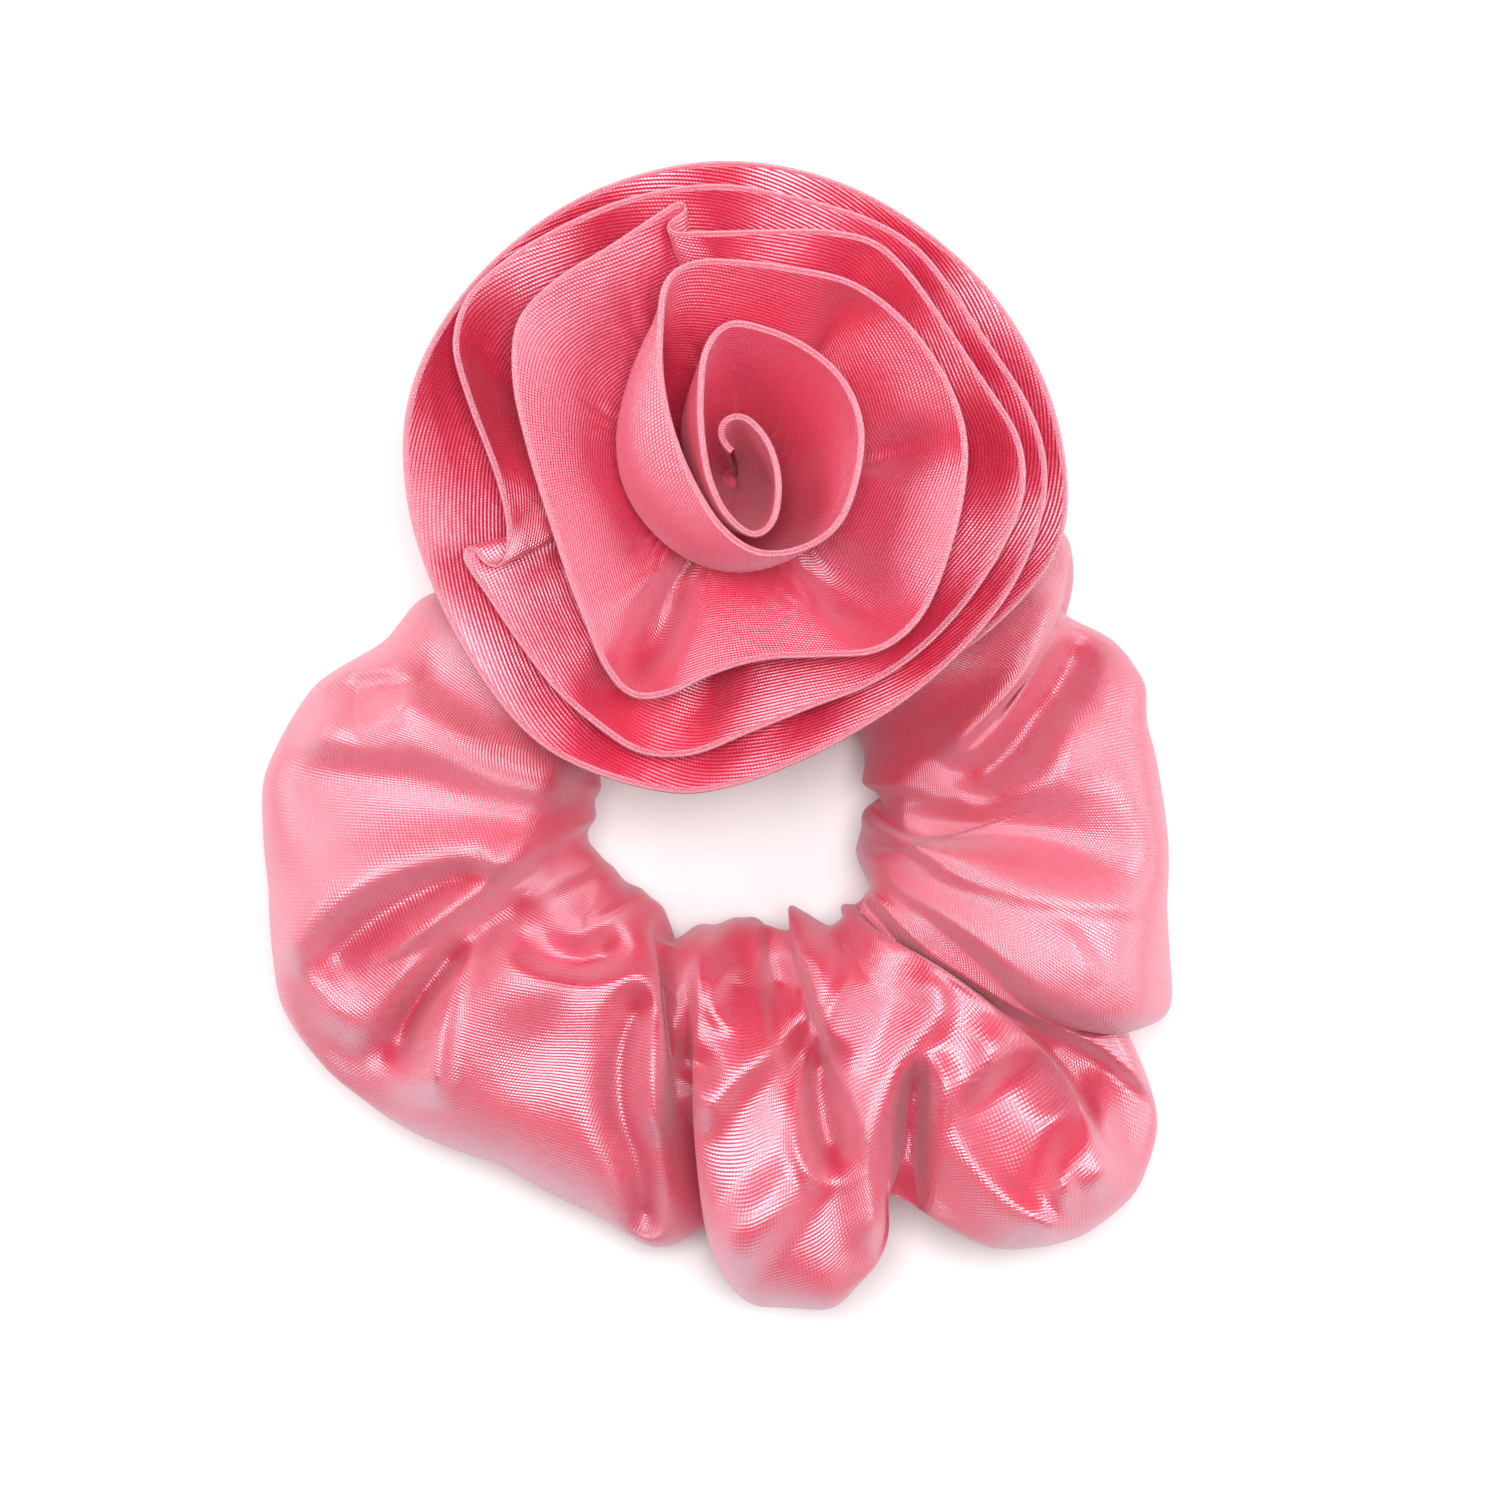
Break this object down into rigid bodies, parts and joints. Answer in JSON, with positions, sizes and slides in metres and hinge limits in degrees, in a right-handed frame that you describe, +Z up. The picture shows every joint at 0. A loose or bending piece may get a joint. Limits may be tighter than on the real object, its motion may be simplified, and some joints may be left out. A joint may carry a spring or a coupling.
{
  "type": "scrunchie",
  "caption": "Gathered satin hair scrunchie with an elastic inside and a large rolled satin rose sewn on top; lies flat.",
  "frame": {"origin": "under the middle of the footprint, on the table that the scrunchie lies on", "axes": "+Z up from the table, +Y from the ring towards the rose, +X to the right when seen from above with the rose at the top"},
  "size_m": [0.131, 0.1606, 0.053],
  "materials": {
    "satin": "glossy woven satin",
    "rose_satin": "glossy woven satin, folded double",
    "elastic": "matte braided elastic",
    "thread": "matte sewing thread",
    "felt": "matte felt"
  },
  "bodies": {
    "gather_01": {"sleeve_gather_01": "satin", "elastic_arc_01": "elastic", "closing_seam_thread": "thread", "rose_tack_1": "thread", "rose_tack_2": "thread", "rose_tack_3": "thread", "rose_tack_4": "thread"},
    "gather_02": {"sleeve_gather_02": "satin", "elastic_arc_02": "elastic"},
    "gather_03": {"sleeve_gather_03": "satin", "elastic_arc_03": "elastic"},
    "gather_04": {"sleeve_gather_04": "satin", "elastic_arc_04": "elastic"},
    "gather_05": {"sleeve_gather_05": "satin", "elastic_arc_05": "elastic"},
    "gather_06": {"sleeve_gather_06": "satin", "elastic_arc_06": "elastic"},
    "gather_07": {"sleeve_gather_07": "satin", "elastic_arc_07": "elastic"},
    "gather_08": {"sleeve_gather_08": "satin", "elastic_arc_08": "elastic", "elastic_overlap": "elastic", "elastic_zigzag_thread": "thread"},
    "gather_09": {"sleeve_gather_09": "satin", "elastic_arc_09": "elastic"},
    "gather_10": {"sleeve_gather_10": "satin", "elastic_arc_10": "elastic"},
    "rose": {"rose_strip": "rose_satin", "rose_gather_thread": "thread", "rose_backing": "felt"}
  },
  "joints": [
    {"name": "stretch_01", "type": "slide", "parent": "gather_01", "child": "gather_02", "axis": [0.9713, -0.2377, 0], "range_m": [0, 0.01231], "stiffness_N_per_m": 80},
    {"name": "stretch_02", "type": "slide", "parent": "gather_02", "child": "gather_03", "axis": [0.6978, -0.7163, 0], "range_m": [0, 0.01204]},
    {"name": "stretch_03", "type": "slide", "parent": "gather_03", "child": "gather_04", "axis": [0.1349, -0.9909, 0], "range_m": [0, 0.01569]},
    {"name": "stretch_04", "type": "slide", "parent": "gather_04", "child": "gather_05", "axis": [-0.5483, -0.8363, 0], "range_m": [0, 0.01533]},
    {"name": "stretch_05", "type": "slide", "parent": "gather_05", "child": "gather_06", "axis": [-0.9336, -0.3584, 0], "range_m": [0, 0.01186]},
    {"name": "stretch_06", "type": "slide", "parent": "gather_06", "child": "gather_07", "axis": [-0.9848, 0.1736, 0], "range_m": [0, 0.01186]},
    {"name": "stretch_07", "type": "slide", "parent": "gather_07", "child": "gather_08", "axis": [-0.7431, 0.6691, 0], "range_m": [0, 0.01259]},
    {"name": "stretch_08", "type": "slide", "parent": "gather_08", "child": "gather_09", "axis": [-0.2036, 0.979, 0], "range_m": [0, 0.01497]},
    {"name": "stretch_09", "type": "slide", "parent": "gather_09", "child": "gather_10", "axis": [0.4848, 0.8746, 0], "range_m": [0, 0.01587]},
    {"name": "rose_rock", "type": "hinge", "parent": "gather_01", "child": "rose", "pos_m": [0.00268, 0.03809, 0.027], "axis": [1, 0, 0], "range_deg": [-8, 8], "stiffness_Nm_per_rad": 0.01}
  ],
  "couplings": [
    {"joint": "stretch_02", "follows": "stretch_01", "ratio": 0.97002},
    {"joint": "stretch_03", "follows": "stretch_01", "ratio": 1.2661},
    {"joint": "stretch_04", "follows": "stretch_01", "ratio": 1.2369},
    {"joint": "stretch_05", "follows": "stretch_01", "ratio": 0.95501},
    {"joint": "stretch_06", "follows": "stretch_01", "ratio": 0.95501},
    {"joint": "stretch_07", "follows": "stretch_01", "ratio": 1.015},
    {"joint": "stretch_08", "follows": "stretch_01", "ratio": 1.2076},
    {"joint": "stretch_09", "follows": "stretch_01", "ratio": 1.2807}
  ]
}
